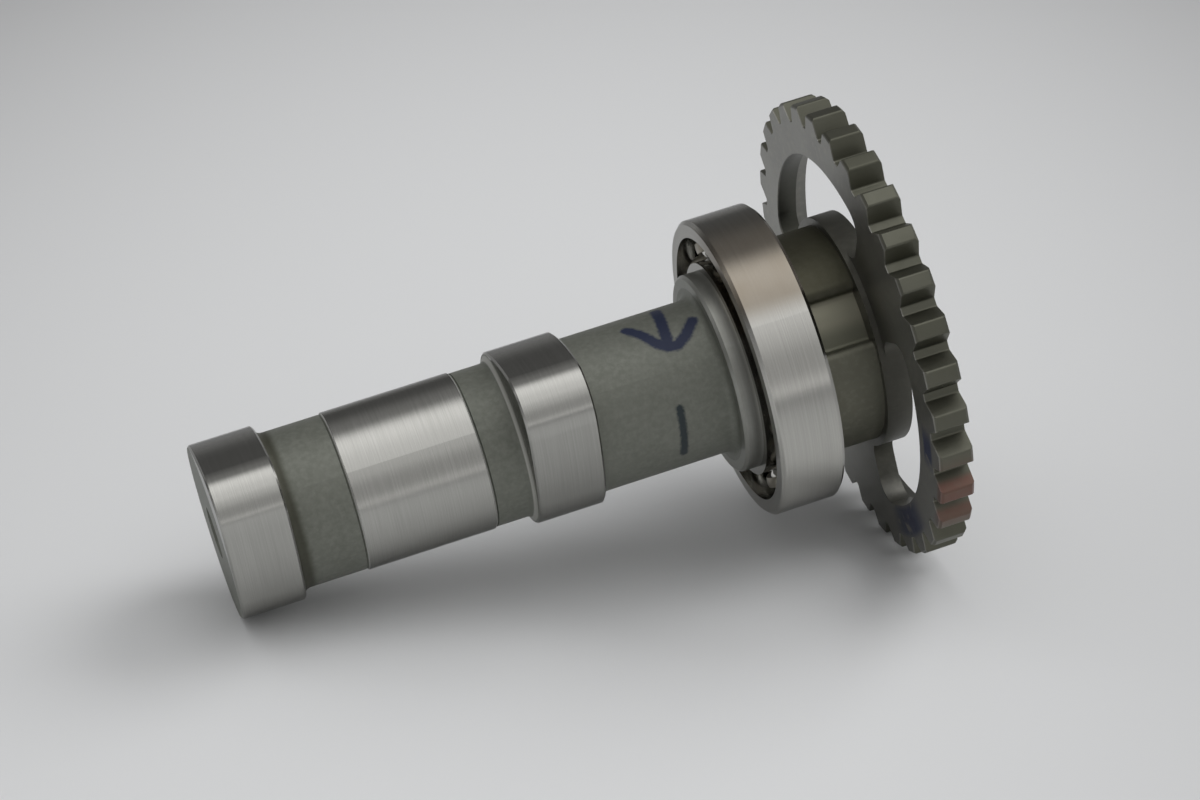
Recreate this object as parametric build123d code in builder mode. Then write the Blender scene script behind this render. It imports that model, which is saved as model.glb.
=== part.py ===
"""Short engine camshaft: two lobes, a plain journal, a ball bearing and a chain sprocket.

The shaft stands on the outer face of its sprocket.  Z runs along the shaft, with z = 0 on
that face, and +X is the direction of both lobe noses.  All sizes are in millimetres.
"""

from build123d import *
import os
from math import atan2, cos, degrees, hypot, radians, sin, sqrt, tan

os.makedirs("parts", exist_ok=True)

# --- Driving dimensions -------------------------------------------------------------------

# Camshaft, from its free end down to the bearing
end_lobe_width = 8.9
inner_lobe_width = 9.5
lobe_step = 1.3
lobe_edge_break = 0.25
lobe_lift = 5.7
lobe_nose_radius = 5.9
lobe_flank_radius = 40.0
end_neck_length = 8.85
journal_length = 18.5
journal_radius = 11.0
journal_step = 0.2
journal_bevel = 0.4
middle_neck_length = 5.25
inner_neck_length = 19.3
cast_corner_land = 0.05
shoulder_length = 2.5
shoulder_inset = 1.1
shoulder_bevel = 0.4
shaft_end_radius = 7.0
shaft_end_bevel = 0.5
centre_hole_radius = 2.0
centre_hole_depth = 7.0
centre_cone_radius = 3.6

# Ball bearing, 25 x 42 x 9
bearing_bore_radius = 12.5
bearing_outer_radius = 21.0
bearing_width = 9.0
ball_radius = 2.5
ball_count = 13
ball_circle_offset = 0.15
ring_bevel = 0.5
groove_depth = 0.7
race_clearance = 0.02
groove_slack = 0.1

# Pressed ribbon cage, two halves closed by rivets
cage_sheet = 0.5
cage_width = 1.4
pocket_clearance = 0.1
cage_rivet_radius = 0.4
cage_rivet_head_radius = 0.65
cage_rivet_head_height = 0.25

# Drive hub with two ears
hub_length = 8.0
hub_pad_height = 0.6
hub_pad_inset = 0.7
hub_wall = 6.3
ear_overhang = 0.2
notch_half_angle = 14.5
notch_direction = -5.5
ear_corner_share = 0.55
waist_corner_share = 0.3

# Sprocket for a silent timing chain
tooth_count = 32
chain_pitch = 6.35
tooth_height = 2.6
root_width = 1.2
gap_mouth_width = 4.3
root_corner_radius = 0.35
tip_corner_radius = 0.4
tooth_bevel = 0.4
rim_width = 4.8
rim_wall = 3.2
web_thickness = 2.8
boss_margin = 1.1
boss_height = 0.8
window_lip = 1.3
upper_window = (17.7, 129.7)
lower_window = (-120.3, -20.3)
first_tooth_direction = 5.95

# Rivets between the hub's ears and the sprocket
rivet_radius = 2.5
rivet_head_radius = 3.9

# --- Levels along the shaft ---------------------------------------------------------------

web_outer_z = rim_width - web_thickness
hub_z = rim_width + boss_height
ear_top_z = hub_z + hub_length - hub_pad_height
bearing_z = hub_z + hub_length
bearing_middle_z = bearing_z + bearing_width / 2
shoulder_z = bearing_z + bearing_width
inner_neck_z = shoulder_z + shoulder_length
inner_lobe_z = inner_neck_z + inner_neck_length
middle_neck_z = inner_lobe_z + inner_lobe_width
journal_z = middle_neck_z + middle_neck_length
end_neck_z = journal_z + journal_length
end_lobe_z = end_neck_z + end_neck_length
free_end_z = end_lobe_z + end_lobe_width

# --- Radii worked out from them -----------------------------------------------------------

neck_radius = journal_radius - journal_step
lobe_base_radius = neck_radius + lobe_step
lobe_core_radius = lobe_base_radius - lobe_edge_break
cast_fillet = lobe_core_radius - neck_radius - cast_corner_land

ball_circle_radius = (bearing_bore_radius + bearing_outer_radius) / 2 + ball_circle_offset
inner_land_radius = ball_circle_radius - ball_radius + groove_depth
outer_land_radius = ball_circle_radius + ball_radius - groove_depth
shoulder_radius = inner_land_radius - shoulder_inset
groove_radius = ball_radius + groove_slack
groove_offset = groove_slack - race_clearance
cage_inner_radius = ball_circle_radius - cage_width / 2
cage_outer_radius = ball_circle_radius + cage_width / 2

hub_pad_radius = inner_land_radius - hub_pad_inset
waist_radius = shaft_end_radius + hub_wall
ear_radius = inner_land_radius + ear_overhang
ear_corner_radius = ear_corner_share * (ear_radius - waist_radius)
waist_corner_radius = waist_corner_share * (ear_radius - waist_radius)
rivet_circle_radius = ear_radius - rivet_head_radius
tip_radius = chain_pitch / (2 * sin(radians(180 / tooth_count)))
root_radius = tip_radius - tooth_height
rim_inner_radius = root_radius - rim_wall
boss_radius = ear_radius + boss_margin
window_outer_radius = rim_inner_radius - window_lip
window_corner_radius = (window_outer_radius - boss_radius) / 3


def polar(radius, angle):
    """Point in the plane across the shaft, from a radius and an angle in degrees."""
    return (radius * cos(radians(angle)), radius * sin(radians(angle)))


def ring_sector(inner, outer, start, end):
    """Closed outline between two radii and two angles, for use inside BuildLine."""
    middle = (start + end) / 2
    ThreePointArc(polar(outer, start), polar(outer, middle), polar(outer, end))
    Line(polar(outer, end), polar(inner, end))
    ThreePointArc(polar(inner, end), polar(inner, middle), polar(inner, start))
    Line(polar(inner, start), polar(outer, start))


# --- Camshaft -----------------------------------------------------------------------------


def cam_outline():
    """Harmonic cam outline: base circle, two convex flanks and the nose, all tangent."""
    nose_x = lobe_base_radius + lobe_lift - lobe_nose_radius
    to_base = lobe_flank_radius - lobe_base_radius
    to_nose = lobe_flank_radius - lobe_nose_radius
    flank_x = (to_base**2 - to_nose**2 + nose_x**2) / (2 * nose_x)
    flank_y = sqrt(to_base**2 - flank_x**2)
    base_angle = degrees(atan2(flank_y, -flank_x))
    nose_angle = degrees(atan2(flank_y, nose_x - flank_x))
    middle = (base_angle + nose_angle) / 2
    for side in (1, -1):
        start = polar(lobe_base_radius, side * base_angle)
        swell = polar(lobe_flank_radius, side * middle)
        nose = polar(lobe_nose_radius, side * nose_angle)
        ThreePointArc(
            start,
            (swell[0] + flank_x, swell[1] - side * flank_y),
            (nose[0] + nose_x, nose[1]),
        )
    base_start = polar(lobe_base_radius, base_angle)
    base_end = polar(lobe_base_radius, -base_angle)
    ThreePointArc(base_start, (-lobe_base_radius, 0), base_end)
    nose_start = polar(lobe_nose_radius, nose_angle)
    nose_end = polar(lobe_nose_radius, -nose_angle)
    ThreePointArc(
        (nose_start[0] + nose_x, nose_start[1]),
        (lobe_base_radius + lobe_lift, 0),
        (nose_end[0] + nose_x, nose_end[1]),
    )


def centre_hole(face_z, inward):
    """Half section of a drilled centre with its 60 degree cone, for BuildLine."""
    cone = (centre_cone_radius - centre_hole_radius) * tan(radians(60))
    point = centre_hole_radius * tan(radians(30))
    Polyline(
        (0, face_z),
        (centre_cone_radius, face_z),
        (centre_hole_radius, face_z + inward * cone),
        (centre_hole_radius, face_z + inward * centre_hole_depth),
        (0, face_z + inward * (centre_hole_depth + point)),
        close=True,
    )


def at_cast_corner(vertex):
    """True where the neck runs into the shoulder or a lobe, seen in the half section."""
    cast_corners = (inner_neck_z, inner_lobe_z, middle_neck_z, end_lobe_z)
    on_neck = abs(vertex.X - neck_radius) < 0.001
    return on_neck and any(abs(vertex.Y - level) < 0.001 for level in cast_corners)


def outermost(edge):
    """Distance of an edge's start from the shaft's axis."""
    start = edge.position_at(0)
    return hypot(start.X, start.Y)


with BuildPart() as camshaft:
    with BuildSketch(Plane.XZ) as turned_profile:
        with BuildLine():
            Polyline(
                (0, web_outer_z),
                (shaft_end_radius - shaft_end_bevel, web_outer_z),
                (shaft_end_radius, web_outer_z + shaft_end_bevel),
                (shaft_end_radius, bearing_z),
                (bearing_bore_radius, bearing_z),
                (bearing_bore_radius, shoulder_z),
                (shoulder_radius, shoulder_z),
                (shoulder_radius, inner_neck_z - shoulder_bevel),
                (shoulder_radius - shoulder_bevel, inner_neck_z),
                (neck_radius, inner_neck_z),
                (neck_radius, inner_lobe_z),
                (lobe_core_radius, inner_lobe_z),
                (lobe_core_radius, middle_neck_z),
                (neck_radius, middle_neck_z),
                (neck_radius, journal_z),
                (journal_radius - journal_bevel, journal_z),
                (journal_radius, journal_z + journal_bevel),
                (journal_radius, end_neck_z - journal_bevel),
                (journal_radius - journal_bevel, end_neck_z),
                (neck_radius, end_neck_z),
                (neck_radius, end_lobe_z),
                (lobe_core_radius, end_lobe_z),
                (lobe_core_radius, free_end_z),
                (0, free_end_z),
                close=True,
            )
        make_face()
        fillet(turned_profile.vertices().filter_by(at_cast_corner), cast_fillet)
    revolve(axis=Axis.Z)
    for lobe_z, lobe_width in (
        (inner_lobe_z, inner_lobe_width),
        (end_lobe_z, end_lobe_width),
    ):
        with BuildSketch(Plane.XY.offset(lobe_z)):
            with BuildLine():
                cam_outline()
            make_face()
        extrude(amount=lobe_width)
        for face_z in (lobe_z, lobe_z + lobe_width):
            rim = camshaft.edges().filter_by_position(Axis.Z, face_z, face_z)
            rim = rim.filter_by(lambda edge: outermost(edge) > lobe_base_radius - 0.01)
            chamfer(rim, lobe_edge_break)
    for end_z, inward in ((web_outer_z, 1), (free_end_z, -1)):
        with BuildSketch(Plane.XZ):
            with BuildLine():
                centre_hole(end_z, inward)
            make_face()
        revolve(axis=Axis.Z, mode=Mode.SUBTRACT)
camshaft.part.label = "camshaft"
export_step(camshaft.part, "parts/camshaft.step")

# --- Ball bearing -------------------------------------------------------------------------


with BuildPart() as inner_ring:
    with BuildSketch(Plane.XZ):
        with Locations(((bearing_bore_radius + inner_land_radius) / 2, bearing_middle_z)):
            Rectangle(inner_land_radius - bearing_bore_radius, bearing_width)
        with Locations((ball_circle_radius + groove_offset, bearing_middle_z)):
            Circle(groove_radius, mode=Mode.SUBTRACT)
    revolve(axis=Axis.Z)
    lips = inner_ring.edges().filter_by(GeomType.CIRCLE).sort_by(SortBy.RADIUS)[:2]
    chamfer(lips, ring_bevel)
inner_ring.part.label = "bearing_inner_ring"
export_step(inner_ring.part, "parts/bearing_inner_ring.step")

with BuildPart() as outer_ring:
    with BuildSketch(Plane.XZ):
        with Locations(((outer_land_radius + bearing_outer_radius) / 2, bearing_middle_z)):
            Rectangle(bearing_outer_radius - outer_land_radius, bearing_width)
        with Locations((ball_circle_radius - groove_offset, bearing_middle_z)):
            Circle(groove_radius, mode=Mode.SUBTRACT)
    revolve(axis=Axis.Z)
    lips = outer_ring.edges().filter_by(GeomType.CIRCLE).sort_by(SortBy.RADIUS)[-2:]
    chamfer(lips, ring_bevel)
outer_ring.part.label = "bearing_outer_ring"
export_step(outer_ring.part, "parts/bearing_outer_ring.step")

ball_pitch = 360 / ball_count
for index in range(ball_count):
    with BuildPart() as ball:
        with Locations((*polar(ball_circle_radius, index * ball_pitch), bearing_middle_z)):
            Sphere(ball_radius)
    ball_name = f"bearing_ball_{index + 1:02d}"
    ball.part.label = ball_name
    export_step(ball.part, f"parts/{ball_name}.step")

pocket_radius = ball_radius + pocket_clearance
dome_radius = pocket_radius + cage_sheet
for name, side in (("cage_sprocket_side", -1), ("cage_lobe_side", 1)):
    with BuildPart() as cage_half:
        with Locations(Plane.XY.offset(bearing_middle_z)):
            with PolarLocations(ball_circle_radius, ball_count):
                Sphere(dome_radius)
        with BuildSketch(Plane.XY.offset(bearing_middle_z)):
            Circle(cage_outer_radius)
            Circle(cage_inner_radius, mode=Mode.SUBTRACT)
        extrude(amount=side * (dome_radius + cage_sheet), mode=Mode.INTERSECT)
        with BuildSketch(Plane.XY.offset(bearing_middle_z)):
            Circle(cage_outer_radius)
            Circle(cage_inner_radius, mode=Mode.SUBTRACT)
        extrude(amount=side * cage_sheet)
        with Locations(Plane.XY.offset(bearing_middle_z)):
            with PolarLocations(ball_circle_radius, ball_count):
                Sphere(pocket_radius, mode=Mode.SUBTRACT)
            with PolarLocations(ball_circle_radius, ball_count, start_angle=ball_pitch / 2):
                Cylinder(cage_rivet_radius, 4 * cage_sheet, mode=Mode.SUBTRACT)
    cage_half.part.label = name
    export_step(cage_half.part, f"parts/{name}.step")

with BuildPart() as cage_rivets:
    with Locations(Plane.XY.offset(bearing_middle_z)):
        with PolarLocations(ball_circle_radius, ball_count, start_angle=ball_pitch / 2):
            Cylinder(cage_rivet_radius, 2 * cage_sheet)
    for side in (-1, 1):
        head_z = bearing_middle_z + side * (cage_sheet + cage_rivet_head_height / 2)
        with Locations(Plane.XY.offset(head_z)):
            with PolarLocations(ball_circle_radius, ball_count, start_angle=ball_pitch / 2):
                Cylinder(cage_rivet_head_radius, cage_rivet_head_height)
cage_rivets.part.label = "cage_rivets"
export_step(cage_rivets.part, "parts/cage_rivets.step")

# --- Drive hub ----------------------------------------------------------------------------

rivet_directions = (notch_direction + 90, notch_direction - 90)
rivet_head_height = rivet_head_radius - rivet_radius


def at_ear_corner(vertex):
    """True for the four corners on the ears' outer edge."""
    return hypot(vertex.X, vertex.Y) > ear_radius - 0.01


def at_waist(vertex):
    """True for the corners where a notch wall meets the waist."""
    return hypot(vertex.X, vertex.Y) < waist_radius + 0.01


with BuildPart() as rivet_body:
    with BuildSketch(Plane.XZ):
        with BuildLine():
            Polyline(
                (0, web_outer_z),
                (rivet_head_radius, web_outer_z),
                (rivet_radius, web_outer_z + rivet_head_height),
                (rivet_radius, ear_top_z - rivet_head_height),
                (rivet_head_radius, ear_top_z),
                (0, ear_top_z),
                close=True,
            )
        make_face()
    revolve(axis=Axis.Z)

with BuildPart() as drive_hub:
    with BuildSketch(Plane.XY.offset(hub_z)) as ear_outline:
        Circle(ear_radius)
        for direction in (notch_direction, notch_direction + 180):
            with BuildLine():
                ring_sector(
                    waist_radius,
                    2 * ear_radius,
                    direction - notch_half_angle,
                    direction + notch_half_angle,
                )
            make_face(mode=Mode.SUBTRACT)
        fillet(ear_outline.vertices().filter_by(at_ear_corner), ear_corner_radius)
        fillet(ear_outline.vertices().filter_by(at_waist), waist_corner_radius)
    extrude(amount=ear_top_z - hub_z)
    with BuildSketch(Plane.XY.offset(ear_top_z)):
        Circle(hub_pad_radius)
        add(ear_outline.sketch, mode=Mode.INTERSECT)
    extrude(amount=hub_pad_height)
    with Locations(Plane.XY.offset(hub_z)):
        Cylinder(shaft_end_radius, 4 * hub_length, mode=Mode.SUBTRACT)
    for direction in rivet_directions:
        with Locations((*polar(rivet_circle_radius, direction), 0)):
            add(rivet_body.part, mode=Mode.SUBTRACT)
drive_hub.part.label = "drive_hub"
export_step(drive_hub.part, "parts/drive_hub.step")

# --- Sprocket -----------------------------------------------------------------------------


def at_tooth_tip(vertex):
    """True where a tooth's flank meets the tip circle."""
    return abs(hypot(vertex.X, vertex.Y) - tip_radius) < 0.01


with BuildSketch() as tooth_gap:
    with BuildLine():
        flare = (gap_mouth_width - root_width) / 2 / tooth_height
        reach = tooth_height * 1.5
        Polyline(
            (root_radius, -root_width / 2),
            (root_radius + reach, -root_width / 2 - flare * reach),
            (root_radius + reach, root_width / 2 + flare * reach),
            (root_radius, root_width / 2),
            close=True,
        )
    make_face()
    fillet(tooth_gap.vertices().sort_by(Axis.X)[:2], root_corner_radius)

with BuildPart() as sprocket:
    with BuildSketch():
        Circle(tip_radius)
        Circle(rim_inner_radius, mode=Mode.SUBTRACT)
    extrude(amount=rim_width)
    chamfer(sprocket.edges().filter_by(lambda edge: outermost(edge) > tip_radius - 0.01
                                       and edge.geom_type == GeomType.CIRCLE), tooth_bevel)
    with BuildSketch() as around_teeth:
        Circle(tip_radius + tooth_height)
        Circle(tip_radius, mode=Mode.SUBTRACT)
        with Locations(Rotation(0, 0, first_tooth_direction + 180 / tooth_count)):
            with PolarLocations(0, tooth_count):
                add(tooth_gap.sketch)
        fillet(around_teeth.vertices().filter_by(at_tooth_tip), tip_corner_radius)
    extrude(amount=rim_width, mode=Mode.SUBTRACT)
    with BuildSketch(Plane.XY.offset(web_outer_z)) as web_outline:
        Circle(rim_inner_radius)
        for start, end in (upper_window, lower_window):
            with BuildSketch(mode=Mode.PRIVATE) as window:
                with BuildLine():
                    ring_sector(boss_radius, window_outer_radius, start, end)
                make_face()
                fillet(window.vertices(), window_corner_radius)
            add(window.sketch, mode=Mode.SUBTRACT)
    extrude(amount=web_thickness)
    with BuildSketch(Plane.XY.offset(rim_width)):
        Circle(boss_radius)
    extrude(amount=boss_height)
    Cylinder(shaft_end_radius, 4 * rim_width, mode=Mode.SUBTRACT)
    for direction in rivet_directions:
        with Locations((*polar(rivet_circle_radius, direction), 0)):
            add(rivet_body.part, mode=Mode.SUBTRACT)
sprocket.part.label = "sprocket"
export_step(sprocket.part, "parts/sprocket.step")

for name, direction in zip(("sprocket_rivet_1", "sprocket_rivet_2"), rivet_directions):
    with BuildPart() as sprocket_rivet:
        with Locations((*polar(rivet_circle_radius, direction), 0)):
            add(rivet_body.part)
    sprocket_rivet.part.label = name
    export_step(sprocket_rivet.part, f"parts/{name}.step")
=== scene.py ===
"""Looks of a short engine camshaft with a ball bearing and a toothed chain sprocket.

Everything is in metres in the part's own frame: z runs along the shaft from the
sprocket's outer face, and +x is the direction of both lobe noses.  Materials are written
in millimetres and radians.
"""

from math import degrees

import bmesh
import bpy
from mathutils import Matrix, Vector

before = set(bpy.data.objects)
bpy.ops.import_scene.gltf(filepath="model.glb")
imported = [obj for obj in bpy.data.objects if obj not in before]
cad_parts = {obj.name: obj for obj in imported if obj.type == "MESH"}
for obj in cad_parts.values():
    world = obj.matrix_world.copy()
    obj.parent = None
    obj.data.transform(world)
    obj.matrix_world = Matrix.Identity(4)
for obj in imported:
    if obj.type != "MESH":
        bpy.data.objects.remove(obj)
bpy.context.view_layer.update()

# --- Camera -------------------------------------------------------------------------------
# A long lens half a metre away, in front of the lobes and a little past the free end, so
# that the shaft lies across the picture and the sprocket is seen from its inner side.

camera_place = Vector((0.4324129, -0.08405255, 0.11763131))
camera_right = Vector((0.10230423, -0.33049788, -0.9382457))
camera_up = Vector((0.23581756, 0.92436607, -0.29989574))
camera_data = bpy.data.cameras.new("camera")
camera_data.sensor_width = 36
camera_data.lens = 99
camera = bpy.data.objects.new("camera", camera_data)
camera_turn = Matrix((camera_right, camera_up, camera_right.cross(camera_up))).transposed()
camera.matrix_world = Matrix.Translation(camera_place) @ camera_turn.to_4x4()
bpy.context.scene.collection.objects.link(camera)
bpy.context.scene.camera = camera
bpy.context.scene.view_settings.view_transform = "Standard"

# --- Table, room and light ----------------------------------------------------------------
# The shaft lies on a white table, on the rim of its sprocket and on its end lobe.  All of
# the light comes from the room, which is pale in front and overhead and dark behind, and
# has one soft window at the back on the right.

MM = 0.001
table_up = Vector((0.63127335, 0.74437198, -0.21772533)).normalized()
rim_touch = Vector((-20.95, -24.71, 4.4)) * MM
table_gap = 0.15
table_touch = rim_touch - table_up * table_gap * MM
table_half_width = 4.0
toward_camera = (camera_place - table_up * camera_place.dot(table_up)).normalized()
along_table = toward_camera.cross(table_up)


class Surface:
    """A material or world whose nodes are added one by one."""

    def __init__(self, owner):
        self.owner = owner
        owner.use_nodes = True
        self.tree = owner.node_tree
        self.tree.nodes.clear()

    def node(self, kind, settings, sockets, output=0):
        """Adds a node of that type and gives its output as a Value."""
        added = self.tree.nodes.new(kind)
        for name, setting in settings.items():
            setattr(added, name, setting)
        for key, value in sockets.items():
            if isinstance(value, Value):
                self.tree.links.new(value.socket, added.inputs[key])
            else:
                added.inputs[key].default_value = value
        return None if output is None else Value(self, added.outputs[output])

    def position(self):
        """The three coordinates of the point, in millimetres."""
        place = self.node("ShaderNodeTexCoord", {}, {}, "Object")
        apart = self.node("ShaderNodeSeparateXYZ", {}, {0: place})
        return [Value(self, output) * (1 / MM) for output in apart.socket.node.outputs]

    def noise(self, place, scale, detail, roughness=0.55):
        """Noise from about 0 to 1 at three coordinates."""
        place = self.node("ShaderNodeCombineXYZ", {}, dict(enumerate(place)))
        sockets = {"Vector": place, "Scale": scale, "Detail": detail, "Roughness": roughness}
        return self.node("ShaderNodeTexNoise", {}, sockets)

    def mix(self, factor, first, second):
        """Colour that goes from the first to the second as the factor rises."""
        sockets = {0: factor, 6: first, 7: second}
        return self.node("ShaderNodeMix", {"data_type": "RGBA"}, sockets, 2)

    def bump(self, height, distance, strength):
        """A normal for relief that is as deep as the distance, in millimetres."""
        sockets = {"Height": height, "Distance": distance * MM, "Strength": strength}
        return self.node("ShaderNodeBump", {}, sockets)

    def finish(self, shader, kind="ShaderNodeOutputMaterial"):
        """Ends the nodes in that shader and gives the material or world."""
        self.node(kind, {}, {"Surface": shader}, None)
        return self.owner

    def finish_metal(self, sockets):
        """Ends the nodes in a metal with those sockets and gives the material."""
        return self.finish(self.node("ShaderNodeBsdfPrincipled", {}, sockets))


class Value:
    """A socket of a Surface that can be used in sums."""

    def __init__(self, surface, socket):
        self.surface = surface
        self.socket = socket

    def math(self, operation, *values):
        """A Math node of that operation on the values."""
        sockets = dict(enumerate(values))
        return self.surface.node("ShaderNodeMath", {"operation": operation}, sockets)

    def at_most(self, limit):
        return self.math("MINIMUM", self, limit)

    def at_least(self, limit):
        return self.math("MAXIMUM", self, limit)

    def step(self, low, high):
        """A smooth step that is 0 below low and 1 above high."""
        return self.surface.node(
            "ShaderNodeMapRange",
            {"interpolation_type": "SMOOTHSTEP"},
            {"Value": self, "From Min": low, "From Max": high},
        )

    def along(self, axis):
        """How far a direction or a place reaches along an axis."""
        sockets = {0: self, 1: axis}
        return self.surface.node(
            "ShaderNodeVectorMath", {"operation": "DOT_PRODUCT"}, sockets, "Value"
        )

    def __abs__(self):
        return self.math("ABSOLUTE", self)

    def __add__(self, other):
        return self.math("ADD", self, other)

    def __sub__(self, other):
        return self.math("SUBTRACT", self, other)

    def __rsub__(self, other):
        return self.math("SUBTRACT", other, self)

    def __mul__(self, other):
        return self.math("MULTIPLY", self, other)

    def __truediv__(self, other):
        return self.math("DIVIDE", self, other)

    def __pow__(self, other):
        return self.math("POWER", self, other)

    __radd__ = __add__
    __rmul__ = __mul__


def shade(red, green, blue):
    """A colour written as it shows on a screen, from 0 to 255, made linear."""
    channels = [level / 255 for level in (red, green, blue)]
    linear = [c / 12.92 if c <= 0.04045 else ((c + 0.055) / 1.055) ** 2.4 for c in channels]
    return (*linear, 1.0)


table_mesh = bpy.data.meshes.new("table")
table_shape = bmesh.new()
bmesh.ops.create_grid(table_shape, x_segments=1, y_segments=1, size=table_half_width)
table_turn = Matrix((along_table, toward_camera, table_up)).transposed().to_4x4()
bmesh.ops.transform(
    table_shape, matrix=Matrix.Translation(table_touch) @ table_turn, verts=table_shape.verts
)
table_shape.to_mesh(table_mesh)
table_shape.free()
table = bpy.data.objects.new("table", table_mesh)
bpy.context.scene.collection.objects.link(table)

# The table is painted darker away from a lit spot, a painted fall-off of the lamp light:
# where that spot lies, and over how many metres the painted light falls off from there, on
# both sides and toward the back.
table_white = shade(232, 233, 234)
table_painted_shade = shade(147, 147, 148)
lit_spot_aside, falloff_aside = 0.042, 0.21
lit_spot_forward, falloff_backward = -0.037, 0.36
most_falloff = 0.65

table_paint = Surface(bpy.data.materials.new("white_table"))
spot = table_paint.node("ShaderNodeTexCoord", {}, {}, "Object")
aside = (spot.along(along_table) - lit_spot_aside) / falloff_aside
behind = ((spot.along(toward_camera) - lit_spot_forward) / falloff_backward).at_most(0.0)
painted_falloff = (aside * aside + behind * behind).at_most(most_falloff)
table_colour = table_paint.mix(painted_falloff, table_white, table_painted_shade)
table_top = table_paint.node(
    "ShaderNodeBsdfPrincipled", {}, {"Base Color": table_colour, "Roughness": 0.7}
)
see_through = table_paint.node("ShaderNodeBsdfTransparent", {}, {})
from_below = table_paint.node("ShaderNodeNewGeometry", {}, {}, "Backfacing")
table_look = table_paint.node(
    "ShaderNodeMixShader", {}, {0: from_below, 1: table_top, 2: see_through}
)
table_mesh.materials.append(table_paint.finish(table_look))

# The room's brightness changes with the degrees from the horizon in front, over the top and
# down to the horizon behind.
horizon_level = 0.85
room_steps = (
    (2, 16, -0.34),
    (28, 48, 0.30),
    (46, 62, 0.32),
    (64, 90, 0.30),
    (94, 114, -1.14),
    (120, 150, -0.16),
    (165, 180, 0.24),
)
# In front it is pale in a slanted strip, and dimmer beside it, up to some way past the top.
strip_slant = 0.0075
strip_foot = 0.565
strip_edge = (0.22, 0.6)
strip_end = 110
strip_fade = 20
dim_beside = 0.6
window = (table_up * 0.68 - along_table * 0.58 - toward_camera * 0.45).normalized()
window_edge = (0.88, 0.98)
window_level = 2.5
background = shade(214, 215, 216)

room = Surface(bpy.data.worlds.new("room"))
bpy.context.scene.world = room.owner
look = room.node("ShaderNodeTexCoord", {}, {}, "Generated")
look_up = look.along(table_up)
rise = look_up.math("ARCTAN2", look_up, look.along(toward_camera)) * degrees(1)
room_level = horizon_level
for low, high, change in room_steps:
    room_level = rise.step(low, high) * change + room_level
off_strip = abs(look.along(along_table) - (rise * strip_slant - strip_foot)).step(*strip_edge)
below_end = (strip_end - rise).step(0, strip_fade)
room_level = room_level * (1 - off_strip * below_end * dim_beside)
room_level = look.along(window).step(*window_edge) * window_level + room_level
room_light = room.node(
    "ShaderNodeCombineColor", {}, {0: room_level, 1: room_level, 2: room_level}
)
camera_ray = room.node("ShaderNodeLightPath", {}, {}, "Is Camera Ray")
glass_ray = room.node("ShaderNodeLightPath", {}, {}, "Is Transmission Ray")
room_look = room.mix(camera_ray.at_least(glass_ray), room_light, background)
room.finish(
    room.node("ShaderNodeBackground", {}, {"Color": room_look, "Strength": 1.0}),
    "ShaderNodeOutputWorld",
)

# --- Camshaft -----------------------------------------------------------------------------
# One piece of chilled cast iron.  The lobes, the journal and the bearing's shoulder are
# ground bright, and the necks between them keep the dull grey skin of the casting.  The
# long neck is marked in ink with a hooked arrow and a dash.

neck_radius = 10.8
# Levels along the shaft.
end_lobe = (86.35, 97)
inner_lobe = (44.25, 54.05)
inner_lobe_face = (53.3, 54.3)
end_lobe_foot = (84.8, 87.2)
journal = (58.5, 78.3)
shoulder = (22.6, 25.1)
# Radii, each as the two ends of a soft step.
neck_skin = (10.8, 10.9)
journal_face = (10.81, 10.85)
chamfer_start = (10.83, 10.86)
chamfer_end = (10.94, 10.97)
lobe_fillet = (11.5, 11.8)
lobe_face = (11.8, 11.9)
shoulder_face = (12.2, 12.4)
# Strokes of the pen on the unrolled neck: how far round it, and the level.
arrow_hook = (
    (8.47, 35.31),
    (6.71, 33.91),
    (4.53, 32.58),
    (3.31, 31.18),
    (3.14, 29.82),
    (4.25, 28.25),
    (6.26, 26.63),
)
arrow_stem = ((11.48, 30.21), (8.53, 30.41), (3.75, 31.02))
dash = ((-5.3, 32.4), (-8.2, 32.5), (-12.7, 32.8))
arrow_half_width = 0.62
pen_wobble = 0.5
arrow_edge = (-0.35, 0.2)
dash_edge = (0.05, 0.55)

cast_dark = shade(103, 106, 97)
cast_pale = shade(118, 120, 112)
cast_grit = shade(124, 126, 118)
# Painted shade on the neck beside the end lobe.
cast_painted_shade = shade(58, 57, 44)
# Painted highlight on the fillet at the inner lobe's face.
cast_painted_highlight = shade(176, 176, 170)
ground_dark = shade(164, 164, 159)
ground_pale = shade(176, 175, 171)
chamfer_pale = shade(186, 186, 182)
arrow_ink = shade(25, 35, 66)
dash_ink = shade(28, 40, 47)
grit_patches = (0.3, 0.8)
wheel_streaks = (0.3, 0.7)
cast_metallic, cast_roughness, cast_relief = 0.35, 0.46, 0.4
ground_roughness, ground_relief = 0.15, 0.1
# How much of what lies under them these cover or dull.
shoulder_cover = 0.6
painted_shade_cover = 0.8
# How much painted shade lies on the neck beside the end lobe.
arrow_cover = 0.95
dash_cover = 0.9
ink_dulls = 0.7
chamfer_dulls = 0.6


def about_axis(x, y):
    """Distance from the shaft's axis, and the angle about it from +x."""
    return (x * x + y * y) ** 0.5, x.math("ARCTAN2", y, x)


def band(value, limits, soft=0.08):
    """1 where a value lies between two limits, with soft ends."""
    low, high = limits
    return value.step(low - soft, low + soft) * (1 - value.step(high - soft, high + soft))


def stroke_distance(u, v, points):
    """Distance in millimetres from a line of pen strokes, on the unrolled neck."""
    nearest = None
    for (u0, v0), (u1, v1) in zip(points, points[1:]):
        run_u, run_v = u1 - u0, v1 - v0
        square = run_u**2 + run_v**2
        share = (u - u0) * (run_u / square) + (v - v0) * (run_v / square)
        share = share.at_least(0.0).at_most(1.0)
        gap_u = u - u0 - share * run_u
        gap_v = v - v0 - share * run_v
        gap = (gap_u * gap_u + gap_v * gap_v) ** 0.5
        nearest = gap if nearest is None else nearest.at_most(gap)
    return nearest


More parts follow.
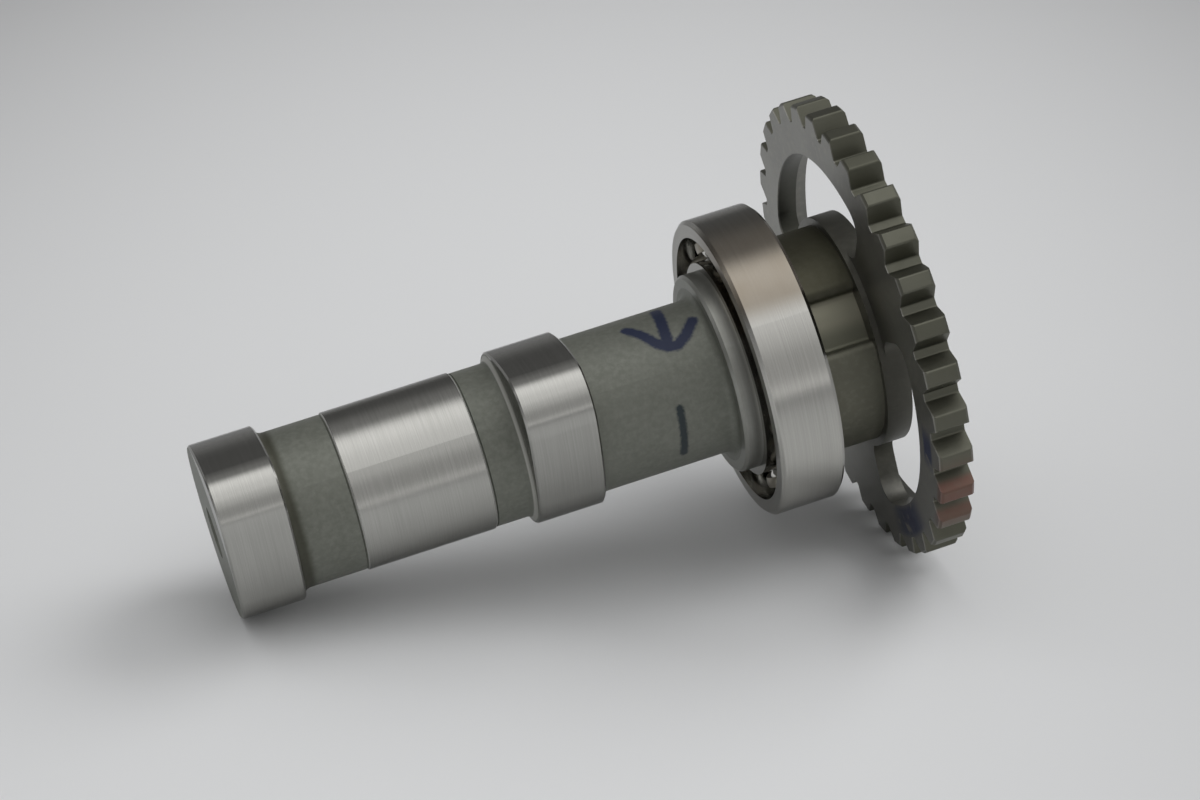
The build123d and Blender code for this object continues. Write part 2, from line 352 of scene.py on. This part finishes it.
cam_iron = Surface(bpy.data.materials.new("ground_and_cast_iron"))
spot = x, y, z = cam_iron.position()
radius, angle = about_axis(x, y)
grain = cam_iron.noise(spot, scale=1.3, detail=4.0, roughness=0.6)
clouds = cam_iron.noise(spot, scale=0.16, detail=3.0)
wheel_lines = cam_iron.noise((angle * 0.9, 3.0, z * 7), scale=1.0, detail=4.0, roughness=0.7)
pen_pull = cam_iron.noise(spot, scale=2.2, detail=2.0)

on_journal = band(z, journal)
ground = (band(z, end_lobe) + band(z, inner_lobe)) * radius.step(*lobe_face)
ground = ground + on_journal * radius.step(*journal_face)
ground = ground + band(z, shoulder, 0.02) * radius.step(*shoulder_face) * shoulder_cover
ground = ground.at_most(1.0)
chamfer = radius.step(*chamfer_start) * (1 - radius.step(*chamfer_end)) * on_journal
# Painted shade on the neck beside the end lobe.
shaded_lobe_foot = band(z, end_lobe_foot, 0.6)
# Painted highlight on the fillet at the inner lobe's face.
lit_lobe_fillet = band(z, inner_lobe_face) * (1 - radius.step(*lobe_fillet)) * radius.step(*neck_skin)

cast_colour = cam_iron.mix(clouds, cast_dark, cast_pale)
cast_colour = cam_iron.mix(grain.step(*grit_patches), cast_colour, cast_grit)
cast_colour = cam_iron.mix(shaded_lobe_foot * painted_shade_cover, cast_colour, cast_painted_shade)
cast_colour = cam_iron.mix(lit_lobe_fillet, cast_colour, cast_painted_highlight)
ground_colour = cam_iron.mix(wheel_lines.step(*wheel_streaks), ground_dark, ground_pale)
colour = cam_iron.mix(ground, cast_colour, ground_colour)
colour = cam_iron.mix(chamfer, colour, chamfer_pale)

unrolled = angle * neck_radius
to_arrow = stroke_distance(unrolled, z, arrow_hook)
to_arrow = to_arrow.at_most(stroke_distance(unrolled, z, arrow_stem))
to_dash = stroke_distance(unrolled, z, dash)
on_arrow = 1 - (to_arrow - (pen_pull * pen_wobble + arrow_half_width)).step(*arrow_edge)
on_dash = 1 - (to_dash - pen_pull * pen_wobble).step(*dash_edge)
colour = cam_iron.mix(on_arrow * arrow_cover, colour, arrow_ink)
colour = cam_iron.mix(on_dash * dash_cover, colour, dash_ink)
inked = on_arrow.at_least(on_dash)

metallic = ground * (1 - cast_metallic) + cast_metallic
metallic = metallic * (1 - inked * ink_dulls) * (1 - chamfer * chamfer_dulls)
roughness = cam_iron.node(
    "ShaderNodeMix",
    {"data_type": "FLOAT"},
    {0: ground * (1 - chamfer), 2: cast_roughness, 3: wheel_lines * 0.1 + ground_roughness},
)
relief = grain * (1 - ground) * cast_relief + wheel_lines * ground * ground_relief
cam_iron.finish_metal(
    {
        "Base Color": colour,
        "Metallic": metallic,
        "Roughness": roughness,
        "Specular Tint": (0.6, 0.6, 0.6, 1),
        "Normal": cam_iron.bump(relief, 0.05, 0.6),
    }
)


def dress(node, surface):
    """Gives a CAD node's object the material of a Surface."""
    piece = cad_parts[node]
    for slot in piece.material_slots:
        slot.material = surface.owner


dress("camshaft", cam_iron)

# --- Bearing rings ------------------------------------------------------------------------
# Two hardened steel rings with a groove for the balls, the inner one pressed against the
# camshaft's shoulder.  They are ground all over, and browner and darker over one band
# of their turn.

ring_dark = shade(173, 172, 167)
ring_pale = shade(187, 186, 181)
ring_brown_band = shade(128, 118, 104)
brown_band_start = (-0.01, 0.16)
brown_band_end = (0.6, 1.1)
faintest_brown_band = 0.6

ring_steel = Surface(bpy.data.materials.new("ground_bearing_steel"))
spot = x, y, z = ring_steel.position()
radius, angle = about_axis(x, y)
wheel_place = (angle * 0.8, radius * 6, z * 6)
wheel_lines = ring_steel.noise(wheel_place, scale=1.0, detail=4.0, roughness=0.7)
blotches = ring_steel.noise(spot, scale=0.14, detail=2.0)
brown_band = angle.step(*brown_band_start) * (1 - angle.step(*brown_band_end))
brown_band = brown_band * (blotches * (1 - faintest_brown_band) + faintest_brown_band)
ring_colour = ring_steel.mix(wheel_lines.step(*wheel_streaks), ring_dark, ring_pale)
ring_steel.finish_metal(
    {
        "Base Color": ring_steel.mix(brown_band, ring_colour, ring_brown_band),
        "Metallic": 1.0,
        "Roughness": wheel_lines * 0.08 + 0.14,
        "Specular Tint": (0.6, 0.6, 0.6, 1),
        "Normal": ring_steel.bump(wheel_lines, 0.01, 0.5),
    }
)
for node in ("bearing_outer_ring", "bearing_inner_ring"):
    dress(node, ring_steel)

# --- Bearing balls ------------------------------------------------------------------------
# Thirteen polished steel balls between the rings, with a film of oil that dulls them in
# places.

ball_count = 13
ball_dark = shade(190, 188, 182)
ball_pale = shade(220, 219, 216)

ball_steel = Surface(bpy.data.materials.new("polished_ball_steel"))
oil = ball_steel.noise(ball_steel.position(), scale=0.6, detail=3.0)
ball_steel.finish_metal(
    {
        "Base Color": ball_steel.mix(oil, ball_dark, ball_pale),
        "Metallic": 1.0,
        "Roughness": oil * 0.12 + 0.04,
    }
)
for number in range(1, ball_count + 1):
    dress(f"bearing_ball_{number:02d}", ball_steel)

# --- Bearing cage -------------------------------------------------------------------------
# Two wavy ribbons pressed from sheet steel.  They hold the balls apart and are joined by a
# rivet between every two balls.

cage_dark = shade(120, 114, 102)
cage_pale = shade(172, 168, 158)

cage_sheet = Surface(bpy.data.materials.new("pressed_cage_sheet"))
oil = cage_sheet.noise(cage_sheet.position(), scale=0.9, detail=4.0)
cage_sheet.finish_metal(
    {
        "Base Color": cage_sheet.mix(oil, cage_dark, cage_pale),
        "Metallic": 1.0,
        "Roughness": oil * 0.2 + 0.25,
        "Normal": cage_sheet.bump(oil, 0.04, 0.4),
    }
)
for node in ("cage_sprocket_side", "cage_lobe_side", "cage_rivets"):
    dress(node, cage_sheet)

# --- Drive hub ----------------------------------------------------------------------------
# A steel forging with two ears and two shallow notches, pressed on the shaft behind the
# bearing.  It is oxidised dark, and darker over about half its turn.  Its notch floors
# are painted paler, as lit, and paler still toward one side: a painted highlight.

hub_dark = shade(94, 93, 80)
hub_pale = shade(122, 122, 110)
hub_grit = shade(124, 123, 111)
darker_side_dark = shade(68, 66, 52)
darker_side_pale = shade(86, 85, 72)
# Painted light on the notch floors, brightest toward one side.
notch_painted_light_dim = shade(116, 116, 102)
notch_painted_highlight = shade(144, 142, 126)
darker_side_from = (-0.1, 0.3)
notch_highlight_from = (-0.24, -0.06)
notch_floor = (13.5, 14.2)
grit_patches = (0.45, 0.8)

hub_iron = Surface(bpy.data.materials.new("dark_oxidised_hub"))
spot = x, y, z = hub_iron.position()
radius, angle = about_axis(x, y)
grain = hub_iron.noise(spot, scale=1.1, detail=6.0, roughness=0.6)
clouds = hub_iron.noise(spot, scale=0.12, detail=3.0)
darker_side_colour = hub_iron.mix(grain, darker_side_dark, darker_side_pale)
# Painted light on the notch floors, brightest toward one side.
notch_painted_light = hub_iron.mix(angle.step(*notch_highlight_from), notch_painted_light_dim, notch_painted_highlight)
hub_colour = hub_iron.mix(clouds, hub_dark, hub_pale)
hub_colour = hub_iron.mix(grain.step(*grit_patches), hub_colour, hub_grit)
hub_colour = hub_iron.mix(angle.step(*darker_side_from), hub_colour, darker_side_colour)
hub_colour = hub_iron.mix(radius.step(*notch_floor), notch_painted_light, hub_colour)
hub_iron.finish_metal(
    {
        "Base Color": hub_colour,
        "Metallic": 0.7,
        "Roughness": grain * 0.15 + 0.34,
        "Specular Tint": (0.5, 0.5, 0.5, 1),
        "Normal": hub_iron.bump(grain, 0.03, 0.4),
    }
)
dress("drive_hub", hub_iron)

# --- Sprocket -----------------------------------------------------------------------------
# Sintered steel with thirty-two teeth for a silent chain.  Its faces are turned, its teeth
# are dull from the furnace, and marking dye and a little rust have darkened it in places.
# Its web is darker near the hub, and painted shade darkens one window's walls and the side
# that lies lowest.

web_dark = shade(112, 112, 108)
web_pale = shade(140, 139, 134)
web_grit = shade(146, 145, 138)
tooth_dark = shade(86, 86, 74)
tooth_pale = shade(108, 108, 98)
# The web is darker near the hub.
web_darker_by_hub = shade(72, 71, 62)
marking_dye = shade(30, 42, 92)
# Painted shade on the walls of one window and on the side of the sprocket that lies lowest.
window_wall_shade = shade(54, 55, 46)
lower_side_shade = shade(60, 60, 50)
tooth_rust = shade(118, 84, 76)
# Radii and levels, each as the two ends of a soft step.
hub_side = (17, 26)
rim_wall = (25.32, 25.4)
tooth_root = (29.3, 29.7)
tooth_tip = (30.5, 31.5)
wall_top = (4.5, 4.7)
rim_face = (4.55, 4.7)
tooth_top = (4.6, 4.75)
# Places about the shaft.
wall_angle = (1.1, 1.4)
lower_angle = (-1.9, -1.1)
rust_angle = (-1.27, -0.93)
wide_smear_angle, wide_smear_radius = (-1.92, -1.52), (25.5, 29.6)
thin_smear_angle, thin_smear_radius = (-0.98, -0.8), (26.8, 29.4)
grit_patches = (0.4, 0.8)
smear_patches = (0.3, 0.42)
thinnest_rust = 0.4

chain_steel = Surface(bpy.data.materials.new("dull_sprocket_steel"))
spot = x, y, z = chain_steel.position()
radius, angle = about_axis(x, y)
grain = chain_steel.noise(spot, scale=0.9, detail=6.0, roughness=0.65)
clouds = chain_steel.noise(spot, scale=0.1, detail=3.0)
patches = chain_steel.noise(spot, scale=0.35, detail=2.0)
turned_place = (radius * 7, angle * 0.5, z * 0.3)
turned = chain_steel.noise(turned_place, scale=1.0, detail=3.0, roughness=0.7)

on_teeth = radius.step(*tooth_root) * (1 - z.step(*tooth_top))
near_hub = 1 - radius.step(*hub_side)
dyed = band(angle, wide_smear_angle, 0.12) * band(radius, wide_smear_radius, 0.6)
dyed = dyed + band(angle, thin_smear_angle, 0.06) * band(radius, thin_smear_radius, 0.4)
dyed = z.step(*rim_face) * dyed * patches.step(*smear_patches)
# Painted shade on the walls of one window and on the side of the sprocket that lies lowest.
shaded_wall = angle.step(*wall_angle) * (1 - radius.step(*rim_wall)) * (1 - z.step(*wall_top))
shaded_lower_side = 1 - angle.step(*lower_angle)
rusty = band(angle, rust_angle, 0.1) * radius.step(*tooth_tip)
rusty = rusty * (grain * (1 - thinnest_rust) + thinnest_rust)

tooth_colour = chain_steel.mix(clouds, tooth_dark, tooth_pale)
chain_colour = chain_steel.mix(clouds, web_dark, web_pale)
# Where each layer lies and how much it covers, from the first one laid on to the last.
for cover, layer in (
    (grain.step(*grit_patches), web_grit),
    (on_teeth, tooth_colour),
    (near_hub * 0.7, web_darker_by_hub),
    (dyed * 0.9, marking_dye),
    # Painted shade on one window's walls and on the side that lies lowest.
    (shaded_wall * 0.8, window_wall_shade),
    (shaded_lower_side * 0.3, lower_side_shade),
    (rusty, tooth_rust),
):
    chain_colour = chain_steel.mix(cover, chain_colour, layer)
chain_steel.finish_metal(
    {
        "Base Color": chain_colour,
        "Metallic": 0.9,
        "Roughness": grain * 0.2 + 0.32,
        "Normal": chain_steel.bump(grain * 0.5 + turned * 0.5, 0.05, 0.5),
    }
)
dress("sprocket", chain_steel)

# --- Sprocket rivets ----------------------------------------------------------------------
# Two steel rivets through the hub's ears and the sprocket's web, hammered flush with both
# faces.

rivet_dark = shade(118, 116, 110)
rivet_pale = shade(158, 156, 150)

rivet_steel = Surface(bpy.data.materials.new("rivet_steel"))
grain = rivet_steel.noise(rivet_steel.position(), scale=1.5, detail=4.0)
rivet_steel.finish_metal(
    {
        "Base Color": rivet_steel.mix(grain, rivet_dark, rivet_pale),
        "Metallic": 1.0,
        "Roughness": grain * 0.15 + 0.3,
        "Normal": rivet_steel.bump(grain, 0.03, 0.5),
    }
)
for node in ("sprocket_rivet_1", "sprocket_rivet_2"):
    dress(node, rivet_steel)
